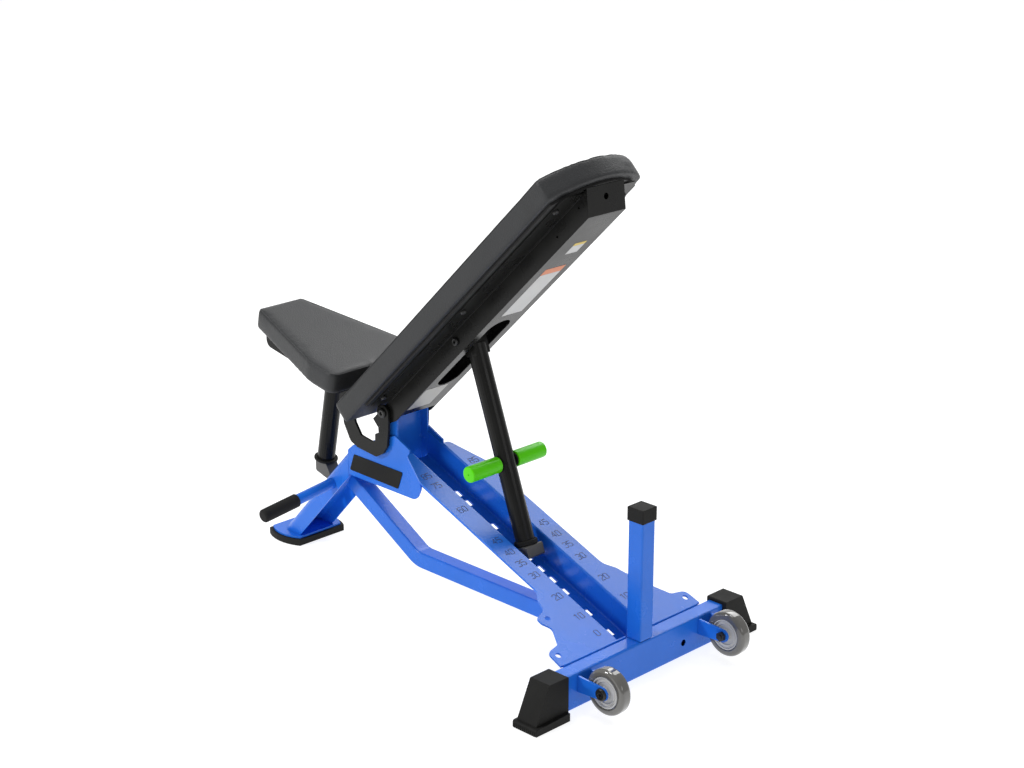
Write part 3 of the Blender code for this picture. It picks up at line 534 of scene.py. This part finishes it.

# ---- Numerals beside the rail's slots, their strokes in painted shade ----
GLYPHS = {
    "0": [[(0.42, 1), (0.28, 1), (0, 0.89), (0, 0.11), (0.28, 0), (0.42, 0)],
          [(0.58, 1), (0.72, 1), (1, 0.89), (1, 0.11), (0.72, 0), (0.58, 0)]],
    "1": [[(0.15, 0.84), (0.62, 1), (0.62, 0)]],
    "2": [[(0, 0.80), (0, 0.89), (0.28, 1), (0.72, 1), (1, 0.89), (1, 0.62), (0.08, 0.17)], [(0, 0), (1, 0)]],
    "3": [[(0, 0.89), (0.28, 1), (0.72, 1), (1, 0.89), (1, 0.62), (0.78, 0.53), (0.40, 0.53)],
          [(1, 0.43), (1, 0.11), (0.72, 0), (0.28, 0), (0, 0.11)]],
    "4": [[(0.72, 0), (0.72, 0.20)], [(0.72, 0.42), (0.72, 1), (0, 0.31), (1, 0.31)]],
    "5": [[(1, 1), (0, 1), (0, 0.58), (0.72, 0.58), (1, 0.48), (1, 0.11), (0.72, 0), (0.56, 0)],
          [(0.40, 0), (0.28, 0), (0, 0.11)]],
    "6": [[(1, 0.89), (0.72, 1), (0.28, 1), (0, 0.89), (0, 0.11), (0.28, 0), (0.42, 0)],
          [(0.58, 0), (0.72, 0), (1, 0.11), (1, 0.45), (0.72, 0.56), (0.16, 0.56)]],
    "7": [[(0, 1), (1, 1), (0.30, 0)]],
    "8": [[(0.42, 1), (0.28, 1), (0, 0.89), (0, 0.62), (0.28, 0.53), (0.72, 0.53), (1, 0.62), (1, 0.89),
           (0.72, 1), (0.58, 1)],
          [(0.16, 0.47), (0, 0.41), (0, 0.11), (0.28, 0), (0.72, 0), (1, 0.11), (1, 0.41), (0.84, 0.47)]],
}
LABELS = (
    ("85", -0.0005), ("75", 0.0335), ("60", 0.1186), ("45", 0.2285), ("40", 0.2684),
    ("35", 0.3055), ("30", 0.3462), ("20", 0.4173), ("10", 0.4824), ("0", 0.5358),
)
GLYPH_SIZE = (0.0094, 0.0158)
GLYPH_GAP = 0.0034
STROKE_HALF = 0.00080
STROKE_Z = (-0.0001, 0.00022)
LABEL_Y = 0.0695


def ribbon(work, points, half, low, high):
    """Adds a mitred strip of even width along a line, as one closed prism."""
    left, right = [], []
    for i, point in enumerate(points):
        before = (point - points[i - 1]).normalized() if i else None
        after = (points[i + 1] - point).normalized() if i + 1 < len(points) else None
        if before and after:
            across = Vector((-before.y - after.y, before.x + after.x)).normalized()
            reach = half / max(0.5, across.dot(Vector((-after.y, after.x))))
        else:
            along = before or after
            across, reach = Vector((-along.y, along.x)), half
        left.append(point + across * reach)
        right.append(point - across * reach)
    loops = [[work.verts.new((p.x, p.y, z)) for p in left + right[::-1]] for z in (low, high)]
    count = len(loops[0])
    for k in range(count):
        n = (k + 1) % count
        work.faces.new((loops[0][k], loops[0][n], loops[1][n], loops[1][k]))
    for loop in loops:
        for k in range(len(points) - 1):
            work.faces.new((loop[k], loop[k + 1], loop[count - 2 - k], loop[count - 1 - k]))


for side, sign in SIDES:
    work = bmesh.new()
    for text, s in LABELS:
        width = len(text) * GLYPH_SIZE[0] + (len(text) - 1) * GLYPH_GAP
        for i, digit in enumerate(text):
            start = sign * LABEL_Y - width / 2 + i * (GLYPH_SIZE[0] + GLYPH_GAP)
            for stroke in GLYPHS[digit]:
                line = [
                    Vector((s - (v - 0.5) * GLYPH_SIZE[1], start + u * GLYPH_SIZE[0])) for u, v in stroke
                ]
                ribbon(work, line, STROKE_HALF, *STROKE_Z)
    finish_piece(f"angle_numerals_{side}", work, RAIL, DIGIT_SHADE, "frame", (), 30)

# ---- Blank labels on the back channel ----
LABEL_CORNER = 0.001


def label(name, x, y, look):
    corners = [(x[i], y[j], LABEL_CORNER) for i, j in ((0, 0), (1, 0), (1, 1), (0, 1))]
    work = plate(bmesh.new(), fillet(corners, 3), CHANNEL_FLOOR - 0.00025, CHANNEL_FLOOR + 0.0001)
    finish_piece(name, work, BACK, look, "backrest", (), 30)


label("label_large", (0.4360, 0.5880), (-0.028, 0.030), PAPER)
label("label_large_band", (0.5885, 0.6100), (-0.028, 0.030), ORANGE)
label("label_small", (0.6600, 0.6890), (-0.012, 0.022), PAPER)
label("label_small_band", (0.6894, 0.6990), (-0.012, 0.022), YELLOW)
label("label_tail", (0.0600, 0.1460), (-0.048, 0.018), BEIGE)


# ---- Bolts with six-sided sockets ----
def bolt(name, at, tip, seat, shank, head, height, socket, body, node):
    """A button-head bolt from its tip to the seat of its head and on outwards."""
    tip, seat = Vector(tip), Vector(seat)
    length = (seat - tip).length
    profile = [(0, 0), (0, shank - 0.0006), (0.0006, shank), (length, shank), (length, head)]
    for i in range(6):
        a = pi / 2 * i / 5
        profile.append((length + height * (0.35 + 0.65 * sin(a)), head * (0.74 + 0.26 * cos(a))))
    top = length + height
    bottom = top - height * 0.6
    profile += [(top, socket * 1.2), (top - 0.0004, socket), (bottom, socket), (bottom, 0)]
    hexed = (len(profile) - 3, len(profile) - 2)
    turned_piece(name, profile, at, tip, seat, BOLT, body, (node,), 48, hexed, 40)


bolt("hinge_bolt_fine", PIVOT, (0, 0.069, 0), (0, -0.0613, 0), 0.006, 0.0110, 0.0046, 0.0042,
     "hinge_core", "hinge_bolt")
bolt("strut_bolt_fine", STRUT, (0, 0.060, 0), (0, -0.0528, 0), 0.005, 0.0090, 0.0052, 0.0034,
     "strut_pin", "strut_pivot_bolt")
bolt("post_bolt_fine", POST, (0, 0.047, 0), (0, -0.0403, 0), 0.005, 0.0090, 0.0052, 0.0034,
     "seat", "seat_post_bolt")
for side, sign in SIDES:
    tip, seat = (0, sign * 0.1505, 0), (0, sign * 0.2033, 0)
    bolt(f"axle_bolt_fine_{side}", WHEEL, tip, seat, 0.005, 0.0130, 0.0052, 0.0042,
         "frame", f"wheel_axle_bolt_{side}")
    for i, x in enumerate((0.070, 0.417, 0.775)):
        node = f"back_bolt_{side}_{i + 1}"
        y = sign * 0.095
        bolt(node + "_fine", BACK, (x, y, 0.0165), (x, y, 0.0092), 0.003, 0.0065, 0.0052, 0.0024,
             "backrest", node)


# ---- Grips ----
def grip(name, at, start, end, radius, bore, bore_length, edge, look, body, node, dimple=0.0):
    """A closed-end sleeve from start to end with rounded rims, hollow for the bar that it covers."""
    start, end = Vector(start), Vector(end)
    length = (end - start).length
    profile = [(bore_length, 0), (bore_length, bore), (0, bore)]
    for i in range(5):
        a = pi / 2 * i / 4
        profile.append((0.0015 - 0.0015 * cos(a), radius - 0.0015 + 0.0015 * sin(a)))
    for i in range(9):
        a = pi / 2 * i / 8
        profile.append((length - edge + edge * sin(a), radius - edge + edge * cos(a)))
    if dimple:
        profile += [(length, dimple), (length - 0.0015, dimple * 0.9), (length - 0.0015, 0)]
    else:
        profile.append((length, 0))
    return turned_piece(name, profile, at, start, end, look, body, (node,), 64, (), 35)


for side, sign in SIDES:
    start, end = (HANDLE_D, sign * 0.0245, 0), (HANDLE_D, sign * 0.1080, 0)
    grip(f"handle_grip_{side}", STRUT, start, end, 0.0175, 0.0083, 0.0758, 0.0035,
         GREEN, "strut", f"strut_grip_{side}", 0.0018)
handle_start, handle_end = Vector((-0.389, -0.030, 0.1871)), Vector((-0.389, -0.2515, 0.1605))
handle_along = (handle_end - handle_start).normalized()
grip_start = handle_end - handle_along * 0.0975
carry_grip = grip("carry_grip", WORLD, grip_start, handle_end, 0.0155, 0.0128, 0.0858, 0.006,
                  FOAM, "frame", "carry_handle_grip")

# ---- Weld along the rail's tail ----
WELD_XZ = (0.4792, 0.0843)
WELD_Y = (0.0200, 0.2020)

for side, sign in SIDES:
    profile = rounded_rod(WELD_Y[1] - WELD_Y[0], 0.0030, 0.0012)
    start, end = [(WELD_XZ[0], sign * y, WELD_XZ[1]) for y in WELD_Y]
    turned_piece(f"tail_weld_{side}", profile, WORLD, start, end, BLUE, "frame", (), 20)

# ---- Folded edges of the back channel ----
FOLD_X = (0.040, 0.810)
FOLD_YZ = (0.0529, 0.0089)

for side, sign in SIDES:
    profile = rounded_rod(FOLD_X[1] - FOLD_X[0], 0.0013, 0.0008)
    start, end = [(x, sign * FOLD_YZ[0], FOLD_YZ[1]) for x in FOLD_X]
    turned_piece(f"channel_fold_{side}", profile, BACK, start, end, BLACK, "backrest", (), 16)

# ---- Ribs on the rear feet ----
for side, sign in SIDES:
    work = bmesh.new()
    for i in range(11):
        x = 0.4775 + i * 0.0053
        centre = Matrix.Translation((x, sign * 0.3352, 0.0050))
        bmesh.ops.create_cube(work, size=1, matrix=centre @ Matrix.Diagonal((0.0026, 0.0016, 0.0084, 1)))
    finish_piece(f"foot_ribs_{side}", work, WORLD, PLASTIC, "frame", (), 30)
